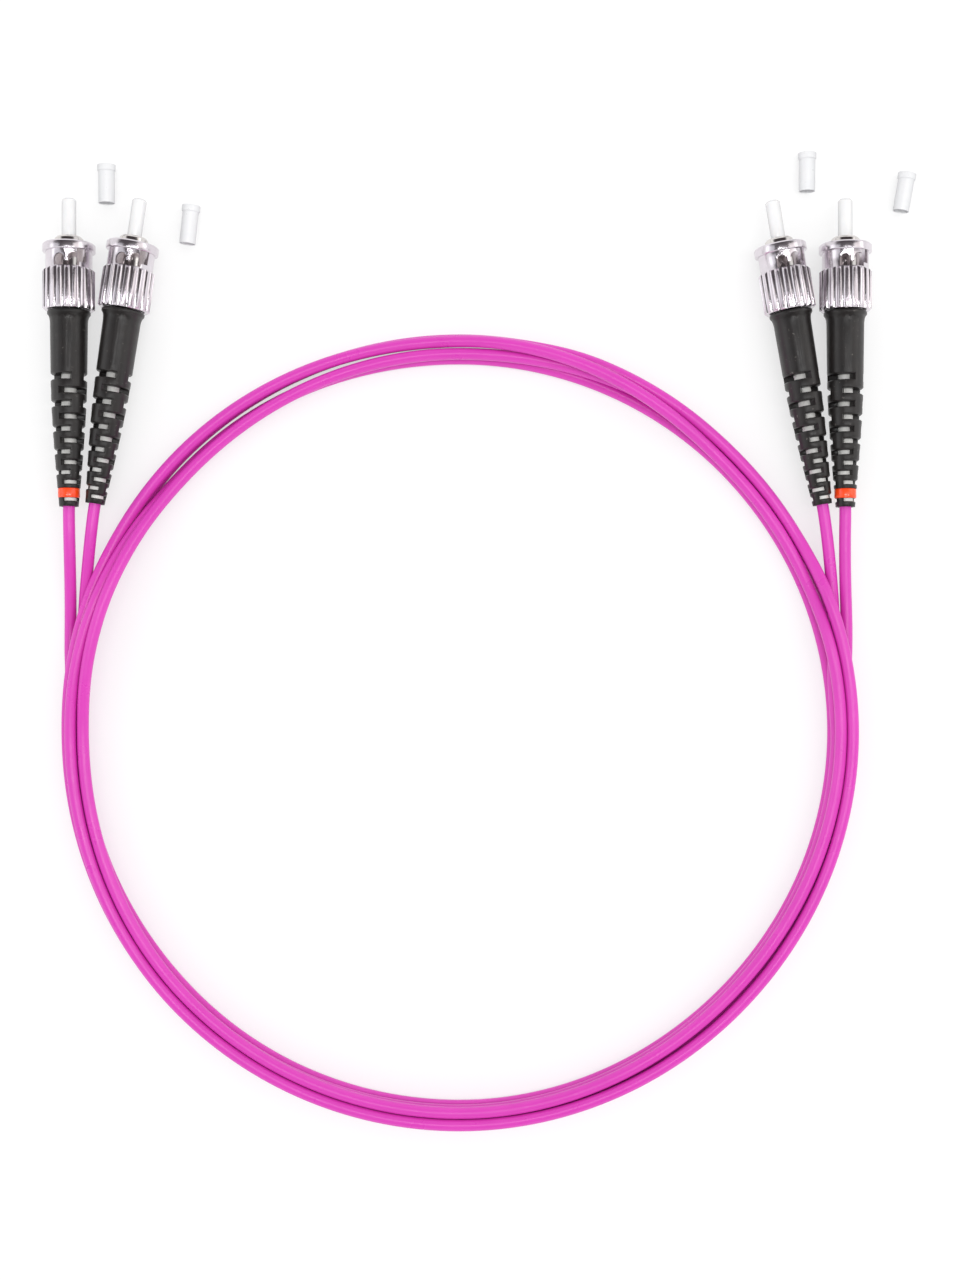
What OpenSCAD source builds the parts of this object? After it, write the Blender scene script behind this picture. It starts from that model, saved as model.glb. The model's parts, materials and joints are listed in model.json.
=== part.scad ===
// Coiled duplex fibre patch cord with a bayonet (ST style) connector at each of its four ends.
// Millimetres, +Z up. The origin is the centre of the coil, on the surface the cord lies on,
// and +Y points from the coil to the connectors.
//
// Each connector is drawn along +Z, from its ferrule tip at 0 to the end of its boot.
// Leg a joins connectors a1 and a2, and leg b joins b1 and b2.

/* [Ferrule] */
// Diameter of the ceramic ferrule
ferrule_d = 2.5; // [2.4:0.05:2.7]
// Length of ferrule that stands out of the barrel
ferrule_out = 6.75; // [5:0.25:8]
// Length of the ferrule's stepped root inside the barrel
ferrule_root_l = 5; // [3:0.5:6]
// Diameter of the stepped root
ferrule_root_d = 2.0; // [1.8:0.05:2.1]

/* [Barrel] */
// Diameter of the barrel round the ferrule
barrel_d = 4.9; // [4.6:0.1:5.2]
// How far the barrel stands out in front of the nut
barrel_out = 1.25; // [0.8:0.05:1.6]
// Diameter of the stem that the nut turns and slides on
stem_d = 3.94; // [3.6:0.02:4.1]
// Diameter of the flange that the spring pushes on
flange_d = 6.4; // [6:0.1:6.5]
// Thickness of the flange
flange_t = 0.8; // [0.6:0.1:1]
// Width of the key that stops the barrel turning in its adapter
key_w = 0.9; // [0.6:0.1:1.2]
// Length of the key
key_l = 2; // [1.5:0.25:3]
// Length of the ridged tail that the yarn is crimped on
tail_l = 6.2; // [5:0.2:6.6]

/* [Bayonet nut] */
// Diameter of the nut's bore
nut_bore_d = 7.1; // [7.1:0.05:7.4]
// Wall of the slotted sleeve
nut_sleeve_wall = 0.47; // [0.4:0.01:0.55]
// Width of the front lip
nut_lip_w = 1.5; // [1.2:0.1:2]
// Diameter of the front lip
nut_lip_d = 9.1; // [9:0.05:9.4]
// Length of the slotted sleeve between the lip and the grip
nut_sleeve_l = 3.0; // [2.8:0.1:3.6]
// Diameter of the fluted grip
nut_grip_d = 9.0; // [8.9:0.05:9.2]
// Length of the fluted grip
nut_grip_l = 7.1; // [6.8:0.1:8]
// Number of flutes round the grip
flute_count = 21; // [16:1:24]
// Depth of a flute
flute_depth = 0.36; // [0.25:0.01:0.38]
// Radius of the cutter that makes a flute
flute_r = 0.55; // [0.45:0.05:0.7]
// Width of the bayonet slot
slot_w = 1.8; // [1.6:0.05:1.9]
// Thickness of the web inside the nut that the spring pushes on
web_t = 0.8; // [0.6:0.05:0.95]
// Depth of the recess behind the web
nut_recess = 0.55; // [0.5:0.05:0.8]

/* [Spring] */
// Length of the spring bay when nothing pushes on it
spring_l = 3.9; // [3.8:0.1:4.4]
// Diameter of the spring's wire
wire_d = 0.4; // [0.3:0.02:0.44]
// Number of turns in the spring
spring_turns = 4; // [3:0.5:4]
// Thickness of the washer behind the spring
washer_t = 0.3; // [0.2:0.05:0.4]
// Thickness of the retaining clip
clip_t = 0.35; // [0.25:0.05:0.4]
// How far the clip stands out of the stem
clip_w = 0.9; // [0.7:0.05:0.95]

/* [Crimp] */
// Diameter of the crimp sleeve
crimp_d = 5.0; // [4.8:0.05:5.2]
// Wall of the crimp sleeve
crimp_wall = 0.5; // [0.35:0.05:0.55]
// Length of the wide part of the crimp sleeve
crimp_wide_l = 7.2; // [7:0.1:8]
// Length of the neck that grips the cord's jacket
crimp_neck_l = 2.2; // [1.5:0.1:3]

/* [Boot] */
// Length of the strain relief boot
boot_l = 34.1; // [33:0.1:36]
// Diameter of the boot's plain front
boot_d = 6.55; // [6.3:0.05:6.9]
// Diameter of the boot's end
boot_end_d = 3.34; // [3.25:0.01:3.5]
// How far the boot's front lip stands out
boot_lip = 0.45; // [0.2:0.05:0.6]
// Distance from the boot's front to its first row of slots
boot_plain_l = 11.6; // [11:0.1:13]
// Number of slot rows
row_count = 12; // [8:1:12]
// Distance between the first two rows
row_pitch = 2.42; // [2.2:0.02:2.5]
// How much nearer each row is than the one before, as a share of that distance
row_shrink = 0.04; // [0.03:0.002:0.05]
// Width of a slot, as a share of the distance between rows
slot_share = 0.42; // [0.3:0.02:0.5]
// Angle of the web between the two slots of a row
boot_web_angle = 45; // [30:5:60]
// Wall of the pale guide tube inside the boot
guide_wall = 0.22; // [0.18:0.01:0.24]

/* [Marker band] */
// Width of the coloured band
band_w = 1.7; // [1.2:0.1:2]
// Diameter of the band
band_d = 3.8; // [3.74:0.02:4]
// Wall of the band
band_wall = 0.26; // [0.2:0.01:0.28]
// Distance from the band to the end of the boot
band_inset = 1.5; // [1.4:0.1:2]

/* [Cord] */
// Diameter of the cord's jacket
cord_d = 2.1; // [2:0.02:2.14]
// Diameter of the buffered fibre
buffer_d = 0.9; // [0.6:0.05:0.95]
// Mean radius of the coil
coil_r = 67.4; // [66.8:0.1:68]
// Width of the coil's bundle
coil_w = 5.5; // [5:0.1:6]
// Height of the coil's bundle
coil_h = 6.4; // [6:0.1:7]

/* [Dust cap] */
// Length of a dust cap
cap_l = 6.7; // [6:0.1:7.5]
// Diameter of a dust cap's head
cap_head_d = 3.2; // [3.15:0.05:3.6]
// Thickness of a dust cap's head
cap_head_t = 1.0; // [0.7:0.1:1.4]
// Wall of a dust cap
cap_wall = 0.16; // [0.12:0.01:0.2]

/* [Hidden] */
$fn = 72;

// Clearances
seat_gap = 0.02;      // between pieces that are glued, crimped or pushed together
running_gap = 0.08;   // radial, between the stem and what slides or turns on it
free_gap = 0.3;       // radial, between a moving piece and a still one that it doesn't run on
boot_gap = 0.15;      // between the back of the nut and the boot
yarn_gap = 0.15;      // for the yarn between the barrel's tail and the crimp sleeve
cap_fit = 0.01;       // radial, between a dust cap and a ferrule
overcut = 0.5;        // how far a cutter runs past what it cuts

// Places along a connector, measured from the ferrule's tip
barrel_z = ferrule_out;
nut_z = barrel_z + barrel_out;
sleeve_z = nut_z + nut_lip_w;
grip_z = sleeve_z + nut_sleeve_l;
nut_end_z = grip_z + nut_grip_l;
web_end_z = nut_end_z - nut_recess;
web_z = web_end_z - web_t;
washer_z = web_z - washer_t;
flange_end_z = washer_z - spring_l;
flange_z = flange_end_z - flange_t;
clip_z = web_end_z;
boot_z = nut_end_z + boot_gap;
boot_end_z = boot_z + boot_l;
tail_z = boot_z;
barrel_end_z = tail_z + tail_l;
crimp_z = boot_z + boot_gap;
crimp_neck_z = crimp_z + crimp_wide_l;
crimp_end_z = crimp_neck_z + crimp_neck_l;
jacket_z = crimp_neck_z - crimp_wall;
guide_z = crimp_end_z + 2 * boot_gap;
guide_end_z = boot_end_z - boot_gap;
band_z = boot_end_z - band_inset - band_w;

// Radii
ferrule_r = ferrule_d / 2;
barrel_r = barrel_d / 2;
stem_r = stem_d / 2;
nut_bore_r = nut_bore_d / 2;
nut_sleeve_r = nut_bore_r + nut_sleeve_wall;
nut_lip_r = nut_lip_d / 2;
nut_grip_r = nut_grip_d / 2;
web_bore_r = stem_r + running_gap;
clip_r = stem_r + clip_w;
nut_recess_r = clip_r + free_gap;
washer_r = nut_bore_r - free_gap;
spring_r = (stem_r + flange_d / 2) / 2;
crimp_r = crimp_d / 2;
tail_r = crimp_r - crimp_wall - yarn_gap;
cord_r = cord_d / 2;
guide_bore_r = cord_r + seat_gap;
guide_r = guide_bore_r + guide_wall;
boot_bore_r = crimp_r + seat_gap;
boot_neck_r = guide_r + seat_gap;
boot_r = boot_d / 2;
boot_end_r = boot_end_d / 2;
band_bore_r = band_d / 2 - band_wall;
cap_bore_r = ferrule_r + cap_fit;
cap_r = cap_bore_r + cap_wall;
cap_head_r = cap_head_d / 2;

// A connector lies on the lip of its nut
axis_height = max(nut_lip_r, nut_grip_r);

// Each connector: its name, its ferrule tip's x and y, its turn about +Z, and if it is banded
CONNECTORS = [
    ["a1", -68.3, 93.4, 0, true],
    ["b1", -55.9, 93.3, -8.4, false],
    ["b2", 54.7, 93.0, 9.4, false],
    ["a2", 67.5, 93.3, 0, true],
];

// Each lead's own points, from just behind its boot to where it has slid in among the coil's turns:
// the left pair under all of them, the right pair over the turns that lie on the table
LEAD_ROUTES = [
    [[-68.3, 34, 4.3], [-68.4, 29, 3.4], [-68.6, 24, 2.2], [-68.8, 19, 1.35], [-68.9, 14, 1.06], [-68.8, 9, 1.06]],
    [[-64.6, 34, 4.3], [-65.3, 29, 3.4], [-66.0, 24, 2.2], [-66.5, 19, 1.35], [-66.7, 14, 1.06], [-66.6, 9, 1.06]],
    [[64.4, 34, 4.3], [65.0, 29, 3.9], [65.5, 24, 3.5], [65.8, 19, 3.25], [65.8, 14, 3.16], [65.7, 9, 3.16]],
    [[67.5, 34, 4.3], [67.6, 29, 3.9], [67.8, 24, 3.5], [68.0, 19, 3.25], [68.0, 14, 3.16], [67.9, 9, 3.16]],
];

// Each loose dust cap: its name, the x and y of its closed end, and its turn about +Z
DUST_CAPS = [
    ["dust_cap_1", -62.4, 100.1, 0],
    ["dust_cap_2", -47.4, 92.9, -6.3],
    ["dust_cap_3", 61.4, 102.2, 0],
    ["dust_cap_4", 79.1, 98.6, -9.7],
];

PIECES = ["ferrule", "barrel", "nut", "spring", "washer", "clip", "crimp", "guide_tube", "fibre_buffer", "boot"];

NODES = concat(
    [for (c = CONNECTORS) for (piece = PIECES) str(piece, "_", c[0])],
    [for (c = CONNECTORS) if (c[4]) str("marker_band_", c[0])],
    [for (c = CONNECTORS) str("lead_", c[0])],
    [for (cap = DUST_CAPS) cap[0]],
    ["coil"]
);
node = "all";

function wanted(name) = node == "all" || node == name;

// A point on a connector's axis, z behind its tip
function on_axis(c, z) = [c[1] + z * sin(c[3]), c[2] - z * cos(c[3]), axis_height];

module place(c) {
    translate(on_axis(c, 0)) rotate([0, 0, c[3]]) rotate([90, 0, 0]) children();
}

// A round piece from the points [radius, z] of its section
module turned(section) {
    rotate_extrude() polygon(section);
}

module ring(outer_r, inner_r, z, length) {
    translate([0, 0, z]) difference() {
        cylinder(r = outer_r, h = length);
        translate([0, 0, -overcut]) cylinder(r = inner_r, h = length + 2 * overcut);
    }
}

// A round tube swept along points, with flat ends
function unit(v) = v / norm(v);
function heading(points, i) =
    unit(points[min(i + 1, len(points) - 1)] - points[max(i - 1, 0)]);
function sweep_ring(points, i, r, sides) =
    let (ahead = heading(points, i), side = unit(cross(ahead, [0, 0, 1])), up = cross(side, ahead))
    [for (k = [0:sides - 1]) let (a = 360 * (k + 0.5) / sides) points[i] + r * (cos(a) * side + sin(a) * up)];

module swept(points, r, sides) {
    rings = len(points);
    corners = [for (i = [0:rings - 1]) each sweep_ring(points, i, r, sides)];
    walls = [for (i = [0:rings - 2]) for (k = [0:sides - 1]) let (next = (k + 1) % sides)
        [i * sides + k, i * sides + next, (i + 1) * sides + next, (i + 1) * sides + k]];
    first = [for (k = [0:sides - 1]) sides - 1 - k];
    last = [for (k = [0:sides - 1]) (rings - 1) * sides + k];
    polyhedron(points = corners, faces = concat([first, last], walls));
}

// ---- Ferrule: ground ceramic, bevelled at its tip and stepped where it is glued in ----
ferrule_bevel = 0.35;
ferrule_seat = 0.15;

module ferrule() {
    root_end = barrel_z + ferrule_seat + ferrule_root_l;
    color("white") turned([
        [0, 0],
        [ferrule_r - ferrule_bevel, 0],
        [ferrule_r, ferrule_bevel],
        [ferrule_r, barrel_z + ferrule_seat],
        [ferrule_root_d / 2, barrel_z + ferrule_seat],
        [ferrule_root_d / 2, root_end],
        [0, root_end],
    ]);
}

// ---- Barrel: turned metal body with its key, spring flange, clip groove and ridged tail ----
ridge_pitch = 0.8;
ridge_depth = 0.2;
barrel_bevel = 0.35;
key_setback = 0.5;   // from the nut's front to the key
key_bevel = 0.25;
key_root = 0.3;      // how far the key reaches into the barrel

module barrel() {
    ridges = floor((tail_l - ridge_pitch) / ridge_pitch);
    buffer_bore_r = buffer_d / 2 + seat_gap;
    root_end = barrel_z + ferrule_seat + ferrule_root_l;
    color("silver") {
        difference() {
            turned(concat(
                [
                    [buffer_bore_r, barrel_z],
                    [barrel_r - barrel_bevel, barrel_z],
                    [barrel_r, barrel_z + barrel_bevel],
                    [barrel_r, flange_z],
                    [flange_d / 2, flange_z],
                    [flange_d / 2, flange_end_z],
                    [stem_r, flange_end_z],
                    [stem_r, clip_z],
                    [stem_r - clip_t, clip_z],
                    [stem_r - clip_t, clip_z + clip_t],
                    [stem_r, clip_z + clip_t],
                    [stem_r, tail_z],
                    [tail_r, tail_z],
                ],
                [for (i = [0:ridges - 1]) let (z = tail_z + ridge_pitch * (i + 0.5))
                    each [[tail_r - ridge_depth, z], [tail_r, z + ridge_pitch / 2]]],
                [
                    [tail_r, barrel_end_z],
                    [buffer_bore_r, barrel_end_z],
                ]
            ));
            translate([0, 0, barrel_z - overcut]) {
                cylinder(r = ferrule_r + seat_gap, h = ferrule_seat + overcut);
                cylinder(r = ferrule_root_d / 2 + seat_gap, h = root_end - barrel_z + overcut);
            }
        }
        barrel_key();
    }
}

// The key stands on the barrel's underside and is bevelled where it enters its adapter
module barrel_key() {
    root = key_root - barrel_r;
    top = -(barrel_r + nut_bore_r) / 2;
    translate([key_w / 2, 0, nut_z + key_setback]) rotate([0, -90, 0]) linear_extrude(key_w)
        polygon([[0, root], [0, top + key_bevel], [key_bevel, top], [key_l, top], [key_l, root]]);
}

// ---- Bayonet nut: lip, slotted sleeve and fluted grip, bored for the adapter and the spring ----
nut_bevel = 0.25;
grip_bevel = 0.35;
detent_angle = 11.5;   // how far the slot's rounded end lies to the left of the top
ramp_angle = 24;       // how far the ramp's lobe lies to the right of the top
entry_angle = 46;      // how far the way in through the lip lies to the right of the top
slot_floor_r = nut_sleeve_r + 0.15;   // the way in stops short of the lip's outside
slot_setback = 0.15;   // from the slot's back to the grip
slot_rest = 1.15;      // from the slot's back to the middle of its rounded rest
slot_ramp = 1.4;       // and to the middle of the ramp's lobe
slot_neck = 0.75;      // width of the slot between its lobes
slot_entry_l = 2.2;    // how far the way in runs behind the lip

module nut_blank() {
    turned([
        [nut_bore_r + nut_bevel, nut_z],
        [nut_lip_r - nut_bevel, nut_z],
        [nut_lip_r, nut_z + nut_bevel],
        [nut_lip_r, sleeve_z - nut_bevel / 2],
        [nut_lip_r - nut_bevel / 2, sleeve_z],
        [nut_sleeve_r, sleeve_z],
        [nut_sleeve_r, grip_z],
        [nut_grip_r - grip_bevel, grip_z],
        [nut_grip_r, grip_z + grip_bevel],
        [nut_grip_r, nut_end_z - grip_bevel],
        [nut_grip_r - grip_bevel, nut_end_z],
        [nut_recess_r, nut_end_z],
        [nut_recess_r, web_end_z],
        [web_bore_r, web_end_z],
        [web_bore_r, web_z],
        [nut_bore_r, web_z],
        [nut_bore_r, nut_z + nut_bevel],
    ]);
}

// The slot as seen from outside, with x across the nut and y along it:
// a rounded rest for the adapter's lug, a cusp, and the ramp's lobe
function arc(x, y, r, from, to, steps) =
    [for (i = [0:steps]) let (a = from + (to - from) * i / steps) [x + r * cos(a), y + r * sin(a)]];

function slot_outline() =
    let (
        lobe_r = slot_w / 2,
        back = grip_z - slot_setback,
        neck = back - slot_neck,
        rest_x = -nut_sleeve_r * sin(detent_angle),
        ramp_x = nut_sleeve_r * sin(ramp_angle)
    )
    concat(
        [[rest_x - lobe_r, back]],
        arc(rest_x, back - slot_rest, lobe_r, 180, 360, 10),
        [[rest_x + lobe_r, neck], [ramp_x - lobe_r, neck]],
        arc(ramp_x, back - slot_ramp, lobe_r, 180, 360, 10),
        [[ramp_x + lobe_r, back]]
    );

module bayonet_slot() {
    rotate([-90, 0, 0]) mirror([0, 1, 0]) translate([0, 0, barrel_r])
        linear_extrude(nut_lip_r - barrel_r) polygon(slot_outline());
    // the way in runs through the lip's bore to the ramp's lobe
    rotate([0, 0, -entry_angle]) translate([-slot_w / 2, barrel_r, nut_z - overcut])
        cube([slot_w, slot_floor_r - barrel_r, nut_lip_w + slot_entry_l + overcut]);
}

module nut() {
    color("gainsboro") difference() {
        nut_blank();
        for (i = [0:flute_count - 1])
            rotate([0, 0, 360 * i / flute_count])
                translate([0, nut_grip_r + flute_r - flute_depth, grip_z - overcut])
                    cylinder(r = flute_r, h = nut_grip_l + 2 * overcut, $fn = 24);
        for (turn = [0, 180])
            rotate([0, 0, turn]) bayonet_slot();
    }
}

// ---- Spring, washer and clip: they hold the nut back on the barrel ----
spring_steps = 12;   // rings in each turn

module spring() {
    wire_r = wire_d / 2;
    count = floor(spring_turns * spring_steps);
    rise = spring_l - wire_d - 2 * seat_gap;
    start = flange_end_z + wire_r + seat_gap;
    color("lightgray") swept(
        [for (i = [0:count]) let (a = 360 * i / spring_steps)
            [spring_r * cos(a), spring_r * sin(a), start + rise * i / count]],
        wire_r, 6);
}

module washer() {
    color("silver") ring(washer_r, web_bore_r, washer_z, washer_t);
}

module clip() {
    mouth = 1.6;   // the gap that lets the clip open over the barrel
    color("dimgray") difference() {
        ring(clip_r, stem_r - clip_t + seat_gap, clip_z, clip_t);
        translate([-mouth / 2, 0, clip_z - overcut]) cube([mouth, clip_r + overcut, clip_t + 2 * overcut]);
    }
}

// ---- Crimp sleeve: pressed over the yarn at the front and over the jacket at its neck ----
module crimp() {
    neck_bore_r = cord_r + seat_gap;
    color("silver") turned([
        [crimp_r - crimp_wall, crimp_z],
        [crimp_r, crimp_z],
        [crimp_r, crimp_neck_z],
        [neck_bore_r + crimp_wall, crimp_neck_z + crimp_wall],
        [neck_bore_r + crimp_wall, crimp_end_z],
        [neck_bore_r, crimp_end_z],
        [neck_bore_r, crimp_neck_z],
        [crimp_r - crimp_wall, crimp_neck_z - crimp_wall],
    ]);
}

module guide_tube() {
    color("lightgray") ring(guide_r, guide_bore_r, guide_z, guide_end_z - guide_z);
}

module fibre_buffer() {
    start = barrel_z + ferrule_seat + ferrule_root_l;
    color("ivory") translate([0, 0, start]) cylinder(r = buffer_d / 2, h = jacket_z - start);
}

// ---- Boot: plain front, then rows of paired slots that let it bend, on a falling curve ----
taper_power = 1.38;
first_row_l = 1.6;     // from the first row of slots to the start of the taper
waist_depth = 0.17;    // how much the boot narrows before the taper starts
slot_bevel = 0.2;
lip_l = 0.9;
lip_bevel = 0.15;
taper_start_z = boot_z + boot_plain_l + first_row_l;
waist_r = boot_r - waist_depth;

function boot_surface(z) = z < taper_start_z
    ? boot_r + (waist_r - boot_r) * (z - boot_z) / (taper_start_z - boot_z)
    : waist_r - (waist_r - boot_end_r) * pow((z - taper_start_z) / (boot_end_z - taper_start_z), taper_power);
function row_z(i) = boot_z + boot_plain_l + row_pitch * (i - row_shrink * i * (i - 1) / 2);
function row_gap(i) = slot_share * row_pitch * (1 - row_shrink * i);

module boot_blank() {
    steps = 8;
    neck_z = crimp_end_z + (boot_bore_r - boot_neck_r) / 3;
    turned(concat(
        [
            [boot_bore_r, boot_z],
            [boot_r + boot_lip - lip_bevel, boot_z],
            [boot_r + boot_lip, boot_z + lip_bevel],
            [boot_r + boot_lip, boot_z + lip_l * 0.6],
            [boot_r + boot_lip * 0.4, boot_z + lip_l],
            [boot_r + boot_lip * 0.1, boot_z + lip_l * 1.5],
            [boot_surface(boot_z + lip_l * 2.2), boot_z + lip_l * 2.2],
        ],
        [for (i = [0:steps]) let (z = taper_start_z + (boot_end_z - taper_start_z) * i / steps)
            [boot_surface(z), z]],
        [
            [boot_neck_r, boot_end_z],
            [boot_neck_r, neck_z],
            [boot_bore_r, neck_z - (boot_bore_r - boot_neck_r)],
        ]
    ));
}

// One of the two slots of a row, through the wall and bevelled at its mouth
module slot_arc(z, gap) {
    surface_r = boot_surface(z);
    half = gap / 2;
    mouth = slot_bevel + overcut;
    translate([0, 0, z]) rotate_extrude(angle = 180 - boot_web_angle) polygon([
        [boot_neck_r - overcut, -half],
        [surface_r - slot_bevel, -half],
        [surface_r + overcut, -half - mouth],
        [surface_r + overcut, half + mouth],
        [surface_r - slot_bevel, half],
        [boot_neck_r - overcut, half],
    ]);
}

module boot(banded) {
    color("dimgray") difference() {
        boot_blank();
        for (i = [0:row_count - 1])
            for (turn = [0, 180])
                rotate([0, 0, turn + boot_web_angle / 2 + (i % 2 == 0 ? 45 : 135)])
                    slot_arc(row_z(i), row_gap(i));
        if (banded)
            ring(band_d, band_bore_r - seat_gap, band_z, band_w);
    }
}

module marker_band() {
    bevel = 0.12;
    color("orangered") turned([
        [band_bore_r, band_z],
        [band_d / 2 - bevel, band_z],
        [band_d / 2, band_z + bevel],
        [band_d / 2, band_z + band_w - bevel],
        [band_d / 2 - bevel, band_z + band_w],
        [band_bore_r, band_z + band_w],
    ]);
}

// ---- Cord: four leads that leave the boots and slide under one coil ----
module lead(c, route) {
    color("orchid") swept(
        concat([on_axis(c, jacket_z), on_axis(c, boot_end_z), on_axis(c, boot_end_z + cord_d)], route),
        cord_r, 8);
}

module coil() {
    corner = cord_r;
    color("orchid") rotate_extrude($fn = 180) translate([coil_r, coil_h / 2]) {
        square([coil_w, coil_h - 2 * corner], center = true);
        square([coil_w - 2 * corner, coil_h], center = true);
        for (x = [-1, 1])
            for (y = [-1, 1])
                translate([x * (coil_w / 2 - corner), y * (coil_h / 2 - corner)]) circle(r = corner, $fn = 32);
    }
}

// ---- Dust caps: each lies on the rim of its head and the rim of its mouth ----
cap_tilt = atan((cap_head_r - cap_r) / (cap_l - cap_head_t));

module place_cap(cap) {
    lift = cap_head_r * cos(cap_tilt) + cap_head_t * sin(cap_tilt);
    translate([cap[1], cap[2], lift]) rotate([0, 0, cap[3]]) rotate([90 + cap_tilt, 0, 0]) children();
}

module dust_cap() {
    bevel = 0.2;
    color("whitesmoke") turned([
        [0, 0],
        [cap_head_r - bevel, 0],
        [cap_head_r, bevel],
        [cap_head_r, cap_head_t],
        [cap_r, cap_head_t + (cap_head_r - cap_r)],
        [cap_r, cap_l],
        [cap_bore_r, cap_l],
        [cap_bore_r, cap_head_t],
        [0, cap_head_t],
    ]);
}

// ---- The whole cord ----
for (i = [0:len(CONNECTORS) - 1]) {
    c = CONNECTORS[i];
    if (wanted(str("ferrule_", c[0]))) place(c) ferrule();
    if (wanted(str("barrel_", c[0]))) place(c) barrel();
    if (wanted(str("nut_", c[0]))) place(c) nut();
    if (wanted(str("spring_", c[0]))) place(c) spring();
    if (wanted(str("washer_", c[0]))) place(c) washer();
    if (wanted(str("clip_", c[0]))) place(c) clip();
    if (wanted(str("crimp_", c[0]))) place(c) crimp();
    if (wanted(str("guide_tube_", c[0]))) place(c) guide_tube();
    if (wanted(str("fibre_buffer_", c[0]))) place(c) fibre_buffer();
    if (wanted(str("boot_", c[0]))) place(c) boot(c[4]);
    if (c[4] && wanted(str("marker_band_", c[0]))) place(c) marker_band();
    if (wanted(str("lead_", c[0]))) lead(c, LEAD_ROUTES[i]);
}
for (cap = DUST_CAPS)
    if (wanted(cap[0])) place_cap(cap) dust_cap();
if (wanted("coil")) coil();
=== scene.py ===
# %% [markdown]
# # A coiled fibre patch cord
# A patch cord joins two pieces of optical equipment. This one has two fibres, so it has two cords
# wound together and four bayonet connectors, and four loose dust caps lie beside it. The CAD model
# gives every piece its place and size. Here the pieces get what CAD leaves out: cords that really
# wind over each other, softened edges, and finishes that look like nickel, rubber and ceramic.

# %% Load the fixed frame
import json
import math

import bpy
from mathutils import Matrix, Vector


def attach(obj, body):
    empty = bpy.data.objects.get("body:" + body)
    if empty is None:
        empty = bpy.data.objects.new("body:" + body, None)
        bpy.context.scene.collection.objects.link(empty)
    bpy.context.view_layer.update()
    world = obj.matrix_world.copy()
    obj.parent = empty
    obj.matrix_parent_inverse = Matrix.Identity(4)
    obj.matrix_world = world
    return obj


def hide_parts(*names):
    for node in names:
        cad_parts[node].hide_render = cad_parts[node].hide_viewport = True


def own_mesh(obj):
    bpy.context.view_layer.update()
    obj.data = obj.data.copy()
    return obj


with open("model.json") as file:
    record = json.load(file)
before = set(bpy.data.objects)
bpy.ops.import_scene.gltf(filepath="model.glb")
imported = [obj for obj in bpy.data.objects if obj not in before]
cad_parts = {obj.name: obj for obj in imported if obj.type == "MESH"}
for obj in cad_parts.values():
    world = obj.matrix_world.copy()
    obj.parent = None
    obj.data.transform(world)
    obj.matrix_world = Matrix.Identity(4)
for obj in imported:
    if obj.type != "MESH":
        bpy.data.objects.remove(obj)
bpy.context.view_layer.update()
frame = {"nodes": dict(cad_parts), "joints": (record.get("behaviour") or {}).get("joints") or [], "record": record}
scene = bpy.context.scene
scene.view_settings.view_transform = "Standard"
MM = 0.001

# %% [markdown]
# ## The camera
# A cord laid out for a catalogue is seen from straight above. The camera hangs 300 mm over the
# table, a little in front of the coil's centre, so that the connectors and the coil are both in
# view. It is near enough for the connectors to show a little of their front faces.

# %% Camera
camera_data = bpy.data.cameras.new("camera")
camera_data.sensor_width = 36
camera_data.lens = 47.5
camera_data.clip_start = 10 * MM
camera = bpy.data.objects.new("camera", camera_data)
camera.location = (3.6 * MM, 16.2 * MM, 300 * MM)
scene.collection.objects.link(camera)
scene.camera = camera

# %% [markdown]
# ## Where the connectors lie
# Two connectors lie straight and two lean a little, as their cords pull them. Each nut turns about
# its connector's own axis, so the joint of that nut says where the connector lies. Everything on a
# connector is modelled along +Z from the ferrule's tip, and then put in place with one matrix.

# %% Places of the connectors
CONNECTORS = ["a1", "b1", "b2", "a2"]
WEB_Z = 18.25 * MM      # from the ferrule's tip to the point that the nut's joint is on
FLANGE_END_Z = 14.05 * MM
WASHER_Z = 17.95 * MM
JACKET_Z = 26.6 * MM
BOOT_END_Z = 53.85 * MM


def place_of(name):
    joint = next(j for j in frame["joints"] if j["name"] == "nut_turn_" + name)
    forward = Vector(joint["axis"]).normalized()
    back, up = -forward, Vector((0, 0, 1))
    across = up.cross(back)
    tip = Vector(joint["pos_m"]) + forward * WEB_Z
    turn = Matrix((across, up, back)).transposed().to_4x4()
    return Matrix.Translation(tip) @ turn


PLACES = {name: place_of(name) for name in CONNECTORS}
for name, place in PLACES.items():
    print(name, "tip at", [round(v / MM, 2) for v in place.translation], "mm")

# %% [markdown]
# ## The route of the two cords
# Each cord leaves the back of a boot, sinks to the table and slides in among the turns of the coil.
# It goes round two and a half times and comes out to the other connector. The points of the four
# leads are listed. The turns are worked out: the radius of each strand is given every
# 45 degrees, and its height comes from laying the strands one after another on those below, as
# round rods lie in a heap.

# %% Leads and the radius of each turn
CORD_D = 2.1 * MM
CORD_R = CORD_D / 2
LEADS = {
    "a1": [(-68.3, 34, 4.3), (-68.4, 29, 3.4), (-68.6, 24, 2.2),
           (-68.8, 19, 1.35), (-68.9, 14, 1.06), (-68.8, 9, 1.06)],
    "b1": [(-64.6, 34, 4.3), (-65.3, 29, 3.4), (-66.0, 24, 2.2),
           (-66.5, 19, 1.35), (-66.7, 14, 1.06), (-66.6, 9, 1.06)],
    "b2": [(64.4, 34, 4.3), (65.0, 29, 3.9), (65.5, 24, 3.5),
           (65.8, 19, 3.25), (65.8, 14, 3.16), (65.7, 9, 3.16)],
    "a2": [(67.5, 34, 4.3), (67.6, 29, 3.9), (67.8, 24, 3.5),
           (68.0, 19, 3.25), (68.0, 14, 3.16), (67.9, 9, 3.16)],
}
FIRST, LAST, EVERY, STEP = 180, 1080, 45, 3   # degrees round the coil, anticlockwise from +X
BESIDE = 8              # degrees past its last point in which a lead still lies beside the turns
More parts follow.
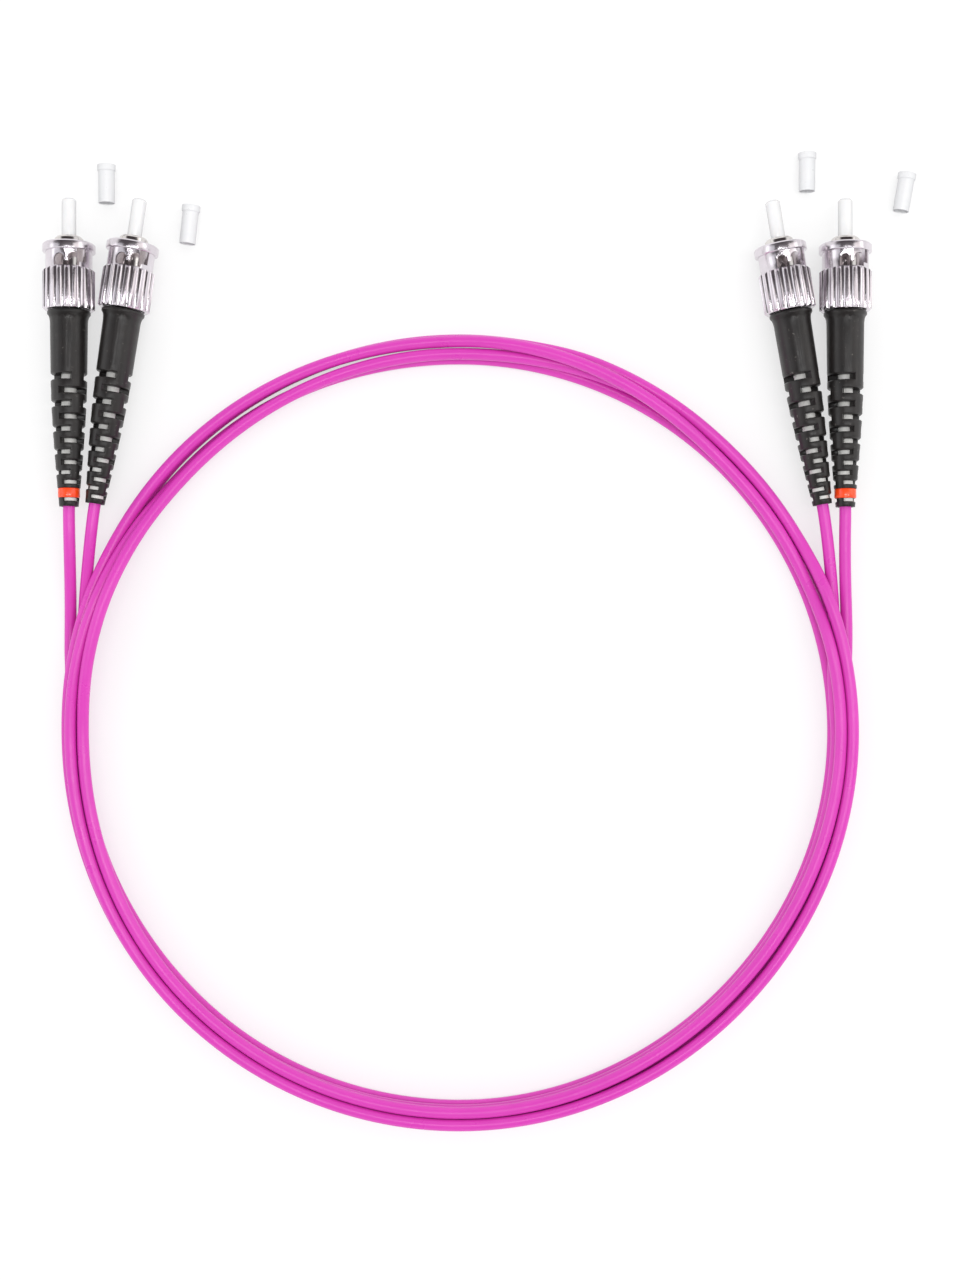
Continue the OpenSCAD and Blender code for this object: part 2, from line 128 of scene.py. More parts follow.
TURN_RADII = {
    "a": [69.3, 68.6, 68.4, 68.1, 68.3, 68.2, 66.5, 66.0, 65.75, 66.4, 66.35,
          65.75, 66.6, 66.3, 68.65, 69.3, 68.9, 69.05, 68.7, 67.95, 68.4],
    "b": [67.2, 66.5, 66.25, 65.75, 66.1, 66.0, 66.0, 66.9, 67.95, 68.55, 68.5,
          68.3, 68.7, 68.5, 69.25, 69.25, 66.7, 66.95, 66.5, 65.75, 66.25],
}


def ease(t):
    return t * t * (3 - 2 * t)


def turn_radius(leg, angle):
    radii = TURN_RADII[leg]
    i = min(int((angle - FIRST) / EVERY), len(radii) - 2)
    t = (angle - FIRST) / EVERY - i
    return radii[i] + (radii[i + 1] - radii[i]) * ease(t)


def lead_at(name, angle):
    """Radius and height of a lead where it passes over a polar angle, or None."""
    polar = sorted((math.degrees(math.atan2(y, x)) % 360, math.hypot(x, y), z)
                   for x, y, z in LEADS[name])
    lowest, highest = polar[0], polar[-1]
    if angle < lowest[0]:
        return lowest[1:] if name[1] == "2" and lowest[0] - angle < BESIDE else None
    if angle > highest[0]:
        return highest[1:] if name[1] == "1" and angle - highest[0] < BESIDE else None
    for (a0, r0, z0), (a1, r1, z1) in zip(polar, polar[1:]):
        if a0 <= angle <= a1:
            t = (angle - a0) / (a1 - a0)
            return r0 + (r1 - r0) * t, z0 + (z1 - z0) * t


# %% Lay the strands on each other
def laying_order(angle):
    """The strands at a polar angle, lowest first: (leg, angle along its own turns) or a lead."""
    second, third = angle + 360, angle + 720
    if angle >= 180:
        return [("b", angle), ("a", angle), ("b", third), ("a", third), ("a", second), ("b", second)]
    if angle <= 90:
        return [("b", second), ("a", second), ("lead", "b2"), ("lead", "a2"), ("b", third), ("a", third)]
    return [("lead", "b1"), ("lead", "a1"), ("b", third), ("a", third), ("b", second), ("a", second)]


heights = {"a": {}, "b": {}}
for angle in list(range(180, 361, STEP)) + list(range(0, 181, STEP)):
    laid = []
    for leg, along in laying_order(angle):
        if leg == "lead":
            spot = lead_at(along, angle)
            if spot:
                laid.append(spot)
            continue
        radius, height = turn_radius(leg, along), CORD_R / MM
        for other_radius, other_height in laid:
            apart = abs(radius - other_radius)
            if apart < CORD_D / MM:
                height = max(height, other_height + math.sqrt((CORD_D / MM) ** 2 - apart ** 2))
        laid.append((radius, height))
        heights[leg][along] = max(height, heights[leg].get(along, 0))


def stiffened(column):
    """A cord can't step up at once, so each height looks at its neighbours."""
    angles = sorted(column)
    raised = [max(column[a] for a in angles[max(i - 1, 0): i + 2]) for i in range(len(angles))]
    padded = [raised[0]] * 2 + raised + [raised[-1]] * 2
    weights = (1, 3, 4, 3, 1)
    return {a: sum(w * padded[i + k] for k, w in enumerate(weights)) / sum(weights)
            for i, a in enumerate(angles)}


turns = {leg: stiffened(heights[leg]) for leg in heights}
print("highest strand:", round(max(max(t.values()) for t in turns.values()), 2), "mm")


# %% The whole route of a cord
BOOT_STEPS = 5          # straight steps of a cord inside its boot
LINE_PARTS = 2          # parts between two points of a route


def smooth_line(points, parts):
    """Extra points between the given ones, on a Catmull-Rom curve."""
    line = []
    for i in range(len(points) - 1):
        before = points[max(i - 1, 0)]
        start, end = points[i], points[i + 1]
        after = points[min(i + 2, len(points) - 1)]
        for k in range(parts):
            t = k / parts
            line.append(0.5 * (2 * start + (end - before) * t
                               + (2 * before - 5 * start + 4 * end - after) * t * t
                               + (3 * start - before - 3 * end + after) * t ** 3))
    line.append(points[-1])
    return line


def lead_points(name):
    in_boot = [JACKET_Z + (BOOT_END_Z - JACKET_Z) * i / BOOT_STEPS for i in range(BOOT_STEPS + 1)]
    axis = [PLACES[name] @ Vector((0, 0, z)) for z in in_boot + [BOOT_END_Z + CORD_D]]
    return axis + [Vector(p) * MM for p in LEADS[name]]


def cord_route(leg):
    coiled = []
    for angle in range(FIRST, LAST + 1, STEP):
        turn = math.radians(angle)
        radius = turn_radius(leg, angle)
        across = (radius * math.cos(turn), radius * math.sin(turn))
        coiled.append(Vector((*across, turns[leg][angle])) * MM)
    return smooth_line(lead_points(leg + "1") + coiled + lead_points(leg + "2")[::-1], LINE_PARTS)


ROUTES = {leg: cord_route(leg) for leg in "ab"}


def length_of(line):
    return sum((b - a).length for a, b in zip(line, line[1:]))


for leg, line in ROUTES.items():
    print("leg", leg, "is", round(length_of(line), 3), "m long in", len(line), "points")


# %% [markdown]
# ## The cords
# A cord is a soft round jacket of one thickness, so a curve with a round bevel is all it needs. The
# curve stays a curve: its middle line is the route above, and its ends stop inside the boots, where
# the crimp sleeve grips the jacket. The CAD model's plain ring and leads are hidden.

# %% Cords as bevelled curves
def deselect():
    for one in bpy.context.selected_objects:
        one.select_set(False)
    bpy.context.view_layer.objects.active = None


def cord_curve(name, line):
    curve = bpy.data.curves.new(name, "CURVE")
    curve.dimensions = "3D"
    curve.bevel_depth = 1       # times each point's radius
    curve.bevel_resolution = 6
    curve.use_fill_caps = True
    spline = curve.splines.new("POLY")
    spline.points.add(len(line) - 1)
    for point, place in zip(spline.points, line):
        point.co = (*place, 1)
        point.radius = CORD_R
    cord = bpy.data.objects.new(name, curve)
    scene.collection.objects.link(cord)
    return cord


deselect()
cords = {leg: cord_curve("cord_" + leg, ROUTES[leg]) for leg in "ab"}
for leg, cord in cords.items():
    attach(cord, "cord")
    ring = ["coil"] if leg == "a" else []
    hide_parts("lead_" + leg + "1", "lead_" + leg + "2", *ring)

# %% [markdown]
# ## Softened edges
# No real edge is perfectly sharp. A turned nut has its edges broken with a file or a brush, and a
# moulded boot comes out of its mould with small radii. These thin round edges catch the light, and
# without them metal looks like paper. The CAD shapes are right, so a copy of each is merged, its
# flat faces are made whole again, and a small bevel runs along its sharp edges.

# %% Helpers that round the edges of a piece, and of a copy of a node
def round_edges(piece, width, segments, sharp, smooth):
    """A bevel on edges sharper than one angle, then smooth shading up to another, in degrees."""
    bevel = piece.modifiers.new("round edges", "BEVEL")
    bevel.width = width
    bevel.segments = segments
    bevel.limit_method = "ANGLE"
    bevel.angle_limit = math.radians(sharp)
    bpy.ops.object.modifier_apply(modifier=bevel.name)
    bpy.ops.object.shade_smooth_by_angle(angle=math.radians(smooth))


SAME_POINT = 0.0005 * MM
NEARLY_FLAT = 0.6       # degrees


def softened(node, piece_name, width):
    deselect()
    source = frame["nodes"][node]
    piece = bpy.data.objects.new(piece_name, source.data.copy())
    scene.collection.objects.link(piece)
    bpy.context.view_layer.objects.active = piece
    piece.select_set(True)
    bpy.ops.object.mode_set(mode="EDIT")
    bpy.ops.mesh.select_all(action="SELECT")
    bpy.ops.mesh.remove_doubles(threshold=SAME_POINT)
    bpy.ops.mesh.dissolve_limited(angle_limit=math.radians(NEARLY_FLAT))
    bpy.ops.object.mode_set(mode="OBJECT")
    round_edges(piece, width, segments=2, sharp=34, smooth=32)
    return piece


# %% Soften the nuts, barrels, boots and bands
SLOTS = {"barrel": "nickel_barrel", "nut": "nickel_nut", "boot": "boot_rubber",
         "marker_band": "marker_plastic", "ferrule": "zirconia", "spring": "spring_steel",
         "dust_cap": "cap_plastic"}
EDGE_WIDTH = {"barrel": 0.05 * MM, "nut": 0.05 * MM, "boot": 0.14 * MM, "marker_band": 0.08 * MM}

finished = {kind: [] for kind in SLOTS}
for kind, width in EDGE_WIDTH.items():
    for name in CONNECTORS:
        node = kind + "_" + name
        if node not in frame["nodes"]:
            continue
        piece = softened(node, node + "_soft", width)
        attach(piece, "nut_" + name if kind == "nut" else "cord")
        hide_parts(node)
        finished[kind].append(piece)
    print(kind, "faces:", sum(len(p.data.polygons) for p in finished[kind]))

# %% [markdown]
# ## The ferrules
# The ferrule is a rod of white zirconia, ground to 2.5 mm and bored for one glass fibre. Its tip is
# bevelled so that it enters a sleeve easily, and polished to a low dome so that two fibres meet
# without a gap. It starts as a cylinder. The tip's face is pulled out and made smaller for the
# bevel, and then three times more for the dome.

# %% Helpers that select a face, pull it out, and start a rod
def select_faces_at(piece, height):
    bpy.ops.object.mode_set(mode="EDIT")
    bpy.ops.mesh.select_mode(type="FACE")
    bpy.ops.mesh.select_all(action="DESELECT")
    bpy.ops.object.mode_set(mode="OBJECT")
    for face in piece.data.polygons:
        face.select = abs(face.center.z - height) < 0.01 * MM and abs(face.normal.z) > 0.99
    bpy.ops.object.mode_set(mode="EDIT")


def pull_face(move, scale):
    """Pulls out the selected face along z and resizes it about the piece's own axis."""
    bpy.ops.mesh.extrude_region_move(TRANSFORM_OT_translate={"value": (0, 0, move)})
    bpy.ops.transform.resize(value=(scale, scale, 1), center_override=(0, 0, 0))


def new_rod(piece_name, radius, low, high, sides=64):
    deselect()
    bpy.ops.mesh.primitive_cylinder_add(vertices=sides, radius=radius, depth=high - low,
                                        location=(0, 0, (low + high) / 2))
    piece = bpy.context.active_object
    piece.name = piece_name
    piece.data.name = piece_name
    bpy.ops.object.transform_apply(location=True, rotation=True, scale=True)
    return piece


# %% Model one ferrule
FERRULE_R, FERRULE_ROOT_R = 1.25 * MM, 1.0 * MM
TIP_BEVEL, TIP_R, DOME = 0.35 * MM, 0.9 * MM, 0.04 * MM
SEAT_Z, ROOT_END_Z = 6.9 * MM, 11.9 * MM

ferrule = new_rod("ferrule_first", FERRULE_R, TIP_BEVEL, SEAT_Z)
select_faces_at(ferrule, TIP_BEVEL)
pull_face(-(TIP_BEVEL - DOME), TIP_R / FERRULE_R)
for rise, narrower in ((0.6, 0.75), (0.3, 0.55), (0.1, 0.3)):
    pull_face(-rise * DOME, narrower)
select_faces_at(ferrule, SEAT_Z)
pull_face(0, FERRULE_ROOT_R / FERRULE_R)
pull_face(ROOT_END_Z - SEAT_Z, 1)
bpy.ops.object.mode_set(mode="OBJECT")
round_edges(ferrule, 0.06 * MM, segments=3, sharp=25, smooth=30)
print("ferrule faces:", len(ferrule.data.polygons))

# %% [markdown]
# The fibre itself is 0.125 mm thick and ends flush with the dome. A short rod of glass shows as the
# tiny dark dot in the middle of the ferrule.

# %% Model one fibre end
FIBRE_R, FIBRE_END_Z, FIBRE_ROOT_Z = 0.0625 * MM, -0.002 * MM, 0.4 * MM
fibre = new_rod("fibre_first", FIBRE_R, FIBRE_END_Z, FIBRE_ROOT_Z, sides=16)
bpy.ops.object.mode_set(mode="EDIT")
bpy.ops.mesh.select_all(action="SELECT")
bpy.ops.mesh.bevel(offset=0.004 * MM, segments=1)
bpy.ops.object.mode_set(mode="OBJECT")


# %% Put a copy on each connector
def copied(model, piece_name, place):
    piece = bpy.data.objects.new(piece_name, model.data.copy())
    piece.data.transform(place)
    scene.collection.objects.link(piece)
    return piece


fibre_ends = []
for name in CONNECTORS:
    piece = copied(ferrule, "ferrule_" + name + "_ground", PLACES[name])
    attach(piece, "cord")
    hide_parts("ferrule_" + name)
    finished["ferrule"].append(piece)
    end = copied(fibre, "fibre_end_" + name, PLACES[name])
    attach(end, "cord")
    fibre_ends.append(end)
for model in (ferrule, fibre):
    bpy.data.objects.remove(model)

# %% [markdown]
# ## The springs
# A spring inside each nut pushes it back and keeps the two ferrules of a joint pressed together. It
# is a helix of round wire whose last half turn at each end closes up, so that it stands square on
# the flange and the washer. It is drawn as a curve along the helix and made a mesh.

# %% Wind one spring
WIRE_R, SPRING_R, COILS = 0.2 * MM, 2.585 * MM, 4
PLAY = 0.02 * MM        # between the wire and what it stands on
CLOSED = 0.11           # share of the wire that lies flat at each end
PER_COIL = 40
spring_low, spring_high = FLANGE_END_Z + WIRE_R + PLAY, WASHER_Z - WIRE_R - PLAY
helix = []
for i in range(COILS * PER_COIL + 1):
    along = i / (COILS * PER_COIL)
    rise = min(max((along - CLOSED) / (1 - 2 * CLOSED), 0), 1)
    turn = 2 * math.pi * i / PER_COIL
    height = spring_low + (spring_high - spring_low) * rise
    helix.append(Vector((SPRING_R * math.cos(turn), SPRING_R * math.sin(turn), height)))
deselect()
wound = bpy.data.curves.new("spring_first", "CURVE")
wound.dimensions = "3D"
wound.bevel_depth = WIRE_R
wound.bevel_resolution = 3
wound.use_fill_caps = True
strand = wound.splines.new("POLY")
strand.points.add(len(helix) - 1)
for point, place in zip(strand.points, helix):
    point.co = (*place, 1)
spring = bpy.data.objects.new("spring_first", wound)
scene.collection.objects.link(spring)
bpy.context.view_layer.objects.active = spring
spring.select_set(True)
bpy.ops.object.convert(target="MESH")
spring = bpy.context.active_object
print("spring faces:", len(spring.data.polygons))

# %% Put a spring on each connector
for name in CONNECTORS:
    piece = copied(spring, "spring_" + name + "_wound", PLACES[name])
    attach(piece, "cord")
    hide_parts("spring_" + name)
    back = PLACES[name].to_3x3() @ Vector((0, 0, 1))
    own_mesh(piece)
    finished["spring"].append(piece)
bpy.data.objects.remove(spring)

# %% [markdown]
# ## The dust caps
# A dust cap is a thin tube of soft translucent plastic with a closed, slightly wider head. It lies
# tipped on the rim of its head and the rim of its mouth. A cylinder is made for the head, the tube
# is pulled out of it, and the bore is pushed back into the tube.

# %% Model one cap
CAP_L, CAP_R, CAP_BORE_R = 6.7 * MM, 1.42 * MM, 1.26 * MM
CAP_HEAD_R, CAP_HEAD_T = 1.6 * MM, 1.0 * MM
cap = new_rod("cap_first", CAP_HEAD_R, 0, CAP_HEAD_T)
select_faces_at(cap, CAP_HEAD_T)
pull_face(CAP_HEAD_R - CAP_R, CAP_R / CAP_HEAD_R)
pull_face(CAP_L - CAP_HEAD_T - (CAP_HEAD_R - CAP_R), 1)
pull_face(0, CAP_BORE_R / CAP_R)
pull_face(-(CAP_L - CAP_HEAD_T), 1)
bpy.ops.object.mode_set(mode="OBJECT")
round_edges(cap, 0.06 * MM, segments=3, sharp=35, smooth=32)
print("cap faces:", len(cap.data.polygons))

# %% Lay the four caps down
for mount in frame["record"]["mounts"]:
    if not mount["name"].startswith("dust_cap"):
        continue
    along = Vector(mount["axis"]).normalized()
    across = Vector((0, 0, 1)).cross(along).normalized()
    turn = Matrix((across, along.cross(across), along)).transposed().to_4x4()
    closed_end = Vector(mount["pos_m"]) - along * (CAP_HEAD_T + CAP_L) / 2
    piece = copied(cap, mount["name"] + "_moulded", Matrix.Translation(closed_end) @ turn)
    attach(piece, "cord")
    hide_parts(mount["name"])
    finished["dust_cap"].append(piece)
bpy.data.objects.remove(cap)


# %% [markdown]
# ## Effects that the finishes share
# Small effects that come back are node groups, each built once. Grain is the fine unevenness that
# a mould or a bath of nickel leaves, and drift is the slow change of tone over a piece: every
# finish has both. Specks are the few bright grains of dust that dark rubber always carries.

# %% Build the node groups
def new_group(name, inputs, outputs):
    group = bpy.data.node_groups.new(name, "ShaderNodeTree")
    for label, value in inputs:
        socket = group.interface.new_socket(name=label, in_out="INPUT", socket_type="NodeSocketFloat")
        socket.default_value = value
    for label in outputs:
        group.interface.new_socket(name=label, in_out="OUTPUT", socket_type="NodeSocketFloat")
    print("group", name, "takes", [label for label, _ in inputs], "and gives", outputs)
    return group, group.nodes.new("NodeGroupInput"), group.nodes.new("NodeGroupOutput")


def noise_in(group, given, detail):
    place = group.nodes.new("ShaderNodeTexCoord")
    noise = group.nodes.new("ShaderNodeTexNoise")
    noise.inputs["Detail"].default_value = detail
    group.links.new(place.outputs["Object"], noise.inputs["Vector"])
    group.links.new(given.outputs["Scale"], noise.inputs["Scale"])
    return noise


def mapped(group, source, low, high, to_low=0.0, to_high=1.0):
    node = group.nodes.new("ShaderNodeMapRange")
    node.inputs["From Min"].default_value = low
    node.inputs["From Max"].default_value = high
    node.inputs["To Min"].default_value = to_low
    node.inputs["To Max"].default_value = to_high
    group.links.new(source, node.inputs["Value"])
    return node.outputs["Result"]


grain, given, out = new_group("grain", [("Scale", 4000)], ["Height"])
noise = noise_in(grain, given, 3)
grain.links.new(noise.outputs["Fac"], out.inputs["Height"])

drift, given, out = new_group("drift", [("Scale", 300), ("Middle", 0.5), ("Spread", 0.1)], ["Value"])
noise = noise_in(drift, given, 4)
centred = drift.nodes.new("ShaderNodeMath")
centred.operation = "MULTIPLY_ADD"
drift.links.new(mapped(drift, noise.outputs["Fac"], 0.3, 0.7, -1, 1), centred.inputs[0])
drift.links.new(given.outputs["Spread"], centred.inputs[1])
drift.links.new(given.outputs["Middle"], centred.inputs[2])
drift.links.new(centred.outputs[0], out.inputs["Value"])

specks, given, out = new_group("specks", [("Scale", 1500)], ["Mask"])
noise = noise_in(specks, given, 2)
specks.links.new(mapped(specks, noise.outputs["Fac"], 0.68, 0.78), out.inputs["Mask"])


# %% [markdown]
# ## The finishes
# Each finish starts with a Principled shader. Colour drifts between two near tones, roughness
# drifts about its middle value, and grain feeds the bump. What is special to one finish, such as
# the turning marks on nickel, is added after that.

# %% A helper for a finish
def linear(*rgb):
    """A colour written as it looks on a screen, 0 to 255, turned into Blender's own values."""
    shares = [c / 255 for c in rgb]
    return (*[c / 12.92 if c <= 0.04045 else ((c + 0.055) / 1.055) ** 2.4 for c in shares], 1)


def add_group(tree, group, **values):
    node = tree.nodes.new("ShaderNodeGroup")
    node.node_tree = group
    for label, value in values.items():
        node.inputs[label].default_value = value
    return node


def finish(name, tones, roughness, rough_spread, drift_scale, grain_scale, grain_height):
    """Scales are per metre, the grain's height is in millimetres, and tones are two colours."""
    material = bpy.data.materials.new(name)
    material.use_nodes = True
    tree = material.node_tree
    shader = tree.nodes["Principled BSDF"]
    mix = tree.nodes.new("ShaderNodeMix")
    mix.data_type = "RGBA"
    mix.inputs["A"].default_value, mix.inputs["B"].default_value = tones
    shade = add_group(tree, drift, Scale=drift_scale, Middle=0.5, Spread=0.5)
    tree.links.new(shade.outputs["Value"], mix.inputs["Factor"])
    tree.links.new(mix.outputs["Result"], shader.inputs["Base Color"])
    rough_scale = drift_scale * 2.3     # finer than the tone, so that the two don't run together
    rough = add_group(tree, drift, Scale=rough_scale, Middle=roughness, Spread=rough_spread)
    tree.links.new(rough.outputs["Value"], shader.inputs["Roughness"])
    fine = add_group(tree, grain, Scale=grain_scale)
    bump = tree.nodes.new("ShaderNodeBump")
    bump.inputs["Strength"].default_value = 1
    bump.inputs["Distance"].default_value = grain_height * MM
    tree.links.new(fine.outputs["Height"], bump.inputs["Height"])
    tree.links.new(bump.outputs["Normal"], shader.inputs["Normal"])
    return material, tree, shader


def feeding(shader, label):
    """The socket that feeds one input of the shader so far."""
    return shader.inputs[label].links[0].from_socket


def dress(pieces, material):
    for piece in pieces:
        piece.data.materials.clear()
        piece.data.materials.append(material)


# %% [markdown]
# ### Cord jacket
# The jacket is pulled through a round die, which leaves it smooth with a soft gloss. Its pink
# violet colour is deep at the sides, where it turns away, and pale along the top, where the lamp
# lies on it.

# %% Finish the cords
jacket, *_ = finish("cord jacket", (linear(216, 62, 182), linear(209, 56, 176)), roughness=0.3,
                    rough_spread=0.04, drift_scale=90, grain_scale=2500, grain_height=0.004)
dress(cords.values(), jacket)

# %% [markdown]
# ### Nickel plate
# The barrel and the nut are turned from brass and plated with nickel. Turning leaves very fine
# rings round the axis, which the plate softens. They are drawn as bands along the axis of each
# connector, so a leaning connector needs its pattern turned with it.

# %% Finish the nickel pieces
def nickel(name, tones, roughness, lean, ring_scale, ring_height):
    material, tree, shader = finish(name, tones, roughness, rough_spread=0.03, drift_scale=500,
                                    grain_scale=5000, grain_height=0.0006)
    shader.inputs["Metallic"].default_value = 1
    place = tree.nodes.new("ShaderNodeTexCoord")
    turn = tree.nodes.new("ShaderNodeMapping")
    turn.inputs["Rotation"].default_value = (0, 0, -lean)
    rings = tree.nodes.new("ShaderNodeTexWave")
    rings.wave_type = "BANDS"
    rings.bands_direction = "Y"
    rings.inputs["Scale"].default_value = ring_scale
    rings.inputs["Distortion"].default_value = 0.6
    rings.inputs["Detail"].default_value = 1
    tree.links.new(place.outputs["Object"], turn.inputs["Vector"])
    tree.links.new(turn.outputs["Vector"], rings.inputs["Vector"])
    marks = tree.nodes.new("ShaderNodeBump")
    marks.inputs["Strength"].default_value = 1
    marks.inputs["Distance"].default_value = ring_height * MM
    tree.links.new(rings.outputs["Fac"], marks.inputs["Height"])
    tree.links.new(feeding(shader, "Normal"), marks.inputs["Normal"])
    tree.links.new(marks.outputs["Normal"], shader.inputs["Normal"])
    return material


NUT_TONES = (linear(228, 222, 228), linear(216, 209, 215))
BARREL_TONES = (linear(226, 222, 219), linear(214, 209, 207))
for name, nut, barrel in zip(CONNECTORS, finished["nut"], finished["barrel"]):
    back = PLACES[name].to_3x3() @ Vector((0, 0, 1))
    lean = math.atan2(back.x, -back.y)
    print(name, "leans", round(math.degrees(lean), 1), "degrees")
    dress([nut], nickel("nut nickel " + name, NUT_TONES, 0.21, lean, 900, 0.0006))
    dress([barrel], nickel("barrel nickel " + name, BARREL_TONES, 0.14, lean, 700, 0.001))

# %% [markdown]
# ### Boot rubber
# The boot is moulded from charcoal rubber. Its surface is a fine satin that spreads the light into
# broad soft bands, and a few grains of dust sit on it.

# %% Finish the boots
rubber, tree, shader = finish("boot rubber", (linear(36, 32, 31), linear(29, 27, 27)), roughness=0.36,
                              rough_spread=0.05, drift_scale=400, grain_scale=3500, grain_height=0.008)
dust = add_group(tree, specks, Scale=1800)
dusty = tree.nodes.new("ShaderNodeMix")
dusty.data_type = "RGBA"
dusty.inputs["B"].default_value = linear(92, 88, 84)
tree.links.new(feeding(shader, "Base Color"), dusty.inputs["A"])
tree.links.new(dust.outputs["Mask"], dusty.inputs["Factor"])
tree.links.new(dusty.outputs["Result"], shader.inputs["Base Color"])
dress(finished["boot"], rubber)

# %% [markdown]
# ### Band, ceramic, glass and cap plastic
# The marker band is a glossy orange-red ring. Zirconia is a dense white with a polish like
# porcelain. The caps are soft white plastic thin enough for light to pass through.

# %% Finish the marker bands
band, _, shader = finish("marker band", (linear(255, 78, 22), linear(246, 66, 16)), roughness=0.24,
                         rough_spread=0.04, drift_scale=600, grain_scale=4000, grain_height=0.002)
shader.inputs["Coat Weight"].default_value = 0.3
dress(finished["marker_band"], band)


# %% A helper that paints shade on the edges of thin white pieces
def painted_edge_shade(tree, shader, edge_shade):
    """Paints shade: mixes a grey into the colour where the surface turns away from the camera, so the edges look
    grey.
    """
    facing = tree.nodes.new("ShaderNodeLayerWeight")
    facing.inputs["Blend"].default_value = 0.35
    shaded = tree.nodes.new("ShaderNodeMix")
    shaded.data_type = "RGBA"
    shaded.inputs["B"].default_value = edge_shade
    tree.links.new(facing.outputs["Facing"], shaded.inputs["Factor"])
    tree.links.new(feeding(shader, "Base Color"), shaded.inputs["A"])
    tree.links.new(shaded.outputs["Result"], shader.inputs["Base Color"])


# %% Finish the ferrules, fibre ends and caps
ceramic, tree, shader = finish("zirconia", (linear(240, 240, 240), linear(236, 236, 237)), roughness=0.14,
                               rough_spread=0.03, drift_scale=500, grain_scale=6000, grain_height=0.0004)
# painted shade: a grey mixed into the colour towards the ferrule's edges
painted_edge_shade(tree, shader, linear(176, 176, 178))
shader.inputs["Subsurface Weight"].default_value = 0.25
shader.inputs["Subsurface Radius"].default_value = (0.6 * MM, 0.55 * MM, 0.5 * MM)
shader.inputs["Subsurface Scale"].default_value = 1
dress(finished["ferrule"], ceramic)

glass, *_ = finish("fibre glass", (linear(70, 74, 80), linear(60, 64, 72)), roughness=0.1,
                   rough_spread=0.02, drift_scale=3000, grain_scale=9000, grain_height=0.0001)
dress(fibre_ends, glass)

CAP_TONES = (linear(240, 240, 241), linear(236, 237, 239))
cap_plastic, tree, shader = finish("cap plastic", CAP_TONES, roughness=0.32, rough_spread=0.05,
                                   drift_scale=500, grain_scale=3500, grain_height=0.003)
# painted shade: a grey mixed into the colour towards the cap's edges
painted_edge_shade(tree, shader, linear(180, 181, 184))
shader.inputs["Transmission Weight"].default_value = 0.08
shader.inputs["IOR"].default_value = 1.45
dress(finished["dust_cap"], cap_plastic)

# %% [markdown]
# ### Pieces inside the connectors
# The spring, washer, clip and crimp sleeve are seen only through the bayonet slots or when a nut is
# pulled forward, and the guide tube shows through the slots of the boot. All but the spring keep
# their CAD shapes. They get plain metal and plastic.

# %% Finish the inner pieces
def nodes_named(kind):
    return [frame["nodes"][kind + "_" + name] for name in CONNECTORS]


def inner_metal(name, tones, roughness):
    material, _, shader = finish(name, tones, roughness, rough_spread=0.06, drift_scale=900,
                                 grain_scale=6000, grain_height=0.001)
    shader.inputs["Metallic"].default_value = 1
    return material


def inner_plastic(name, tones, roughness):
    return finish(name, tones, roughness, rough_spread=0.05, drift_scale=500,
                  grain_scale=4000, grain_height=0.003)[0]


dress(finished["spring"] + nodes_named("washer"),
      inner_metal("drawn steel", (linear(176, 176, 178), linear(150, 150, 154)), 0.28))
dress(nodes_named("clip"),
      inner_metal("dark spring steel", (linear(104, 104, 108), linear(84, 84, 88)), 0.34))
dress(nodes_named("crimp"),
      inner_metal("satin nickel", (linear(190, 188, 184), linear(172, 170, 166)), 0.3))
dress(nodes_named("guide_tube"),
      inner_plastic("guide tube", (linear(236, 235, 232), linear(222, 221, 218)), 0.4))
dress(nodes_named("fibre_buffer"),
      inner_plastic("buffer plastic", (linear(236, 234, 222), linear(226, 224, 210)), 0.35))

# %% [markdown]
# ## The studio
# The cord lies on a plain white floor under soft light. Bright nickel shows what stands round it:
# the sides of the room are bright and the ceiling over the camera is dim, which gives each nut its
# dark middle and white flanks. A long narrow lamp a little to the right of the camera draws the
# thin bright line along the nuts and the cords.

# %% Floor
deselect()
bpy.ops.mesh.primitive_plane_add(size=4, location=(0, 0, 0))
floor = bpy.context.active_object
floor.name = "floor"
paper = bpy.data.materials.new("floor paper")
paper.use_nodes = True
tree = paper.node_tree
tree.nodes.clear()
diffuse = tree.nodes.new("ShaderNodeBsdfDiffuse")
diffuse.inputs["Color"].default_value = (0.93, 0.93, 0.93, 1)
glow = tree.nodes.new("ShaderNodeEmission")
glow.inputs["Strength"].default_value = 1
path = tree.nodes.new("ShaderNodeLightPath")
seen = tree.nodes.new("ShaderNodeMath")
seen.operation = "MAXIMUM"
seen_all = tree.nodes.new("ShaderNodeMath")
seen_all.operation = "MAXIMUM"
own_light = tree.nodes.new("ShaderNodeMath")
own_light.operation = "MULTIPLY"
own_light.inputs[1].default_value = 0.6     # the rest of what is seen shows shadows
blend = tree.nodes.new("ShaderNodeMixShader")
surface = tree.nodes.new("ShaderNodeOutputMaterial")
tree.links.new(path.outputs["Is Camera Ray"], seen.inputs[0])
tree.links.new(path.outputs["Is Glossy Ray"], seen.inputs[1])
tree.links.new(seen.outputs[0], seen_all.inputs[0])
tree.links.new(path.outputs["Is Transmission Ray"], seen_all.inputs[1])
tree.links.new(seen_all.outputs[0], own_light.inputs[0])
tree.links.new(own_light.outputs[0], blend.inputs["Fac"])
tree.links.new(diffuse.outputs[0], blend.inputs[1])
tree.links.new(glow.outputs[0], blend.inputs[2])
tree.links.new(blend.outputs[0], surface.inputs["Surface"])
floor.data.materials.append(paper)

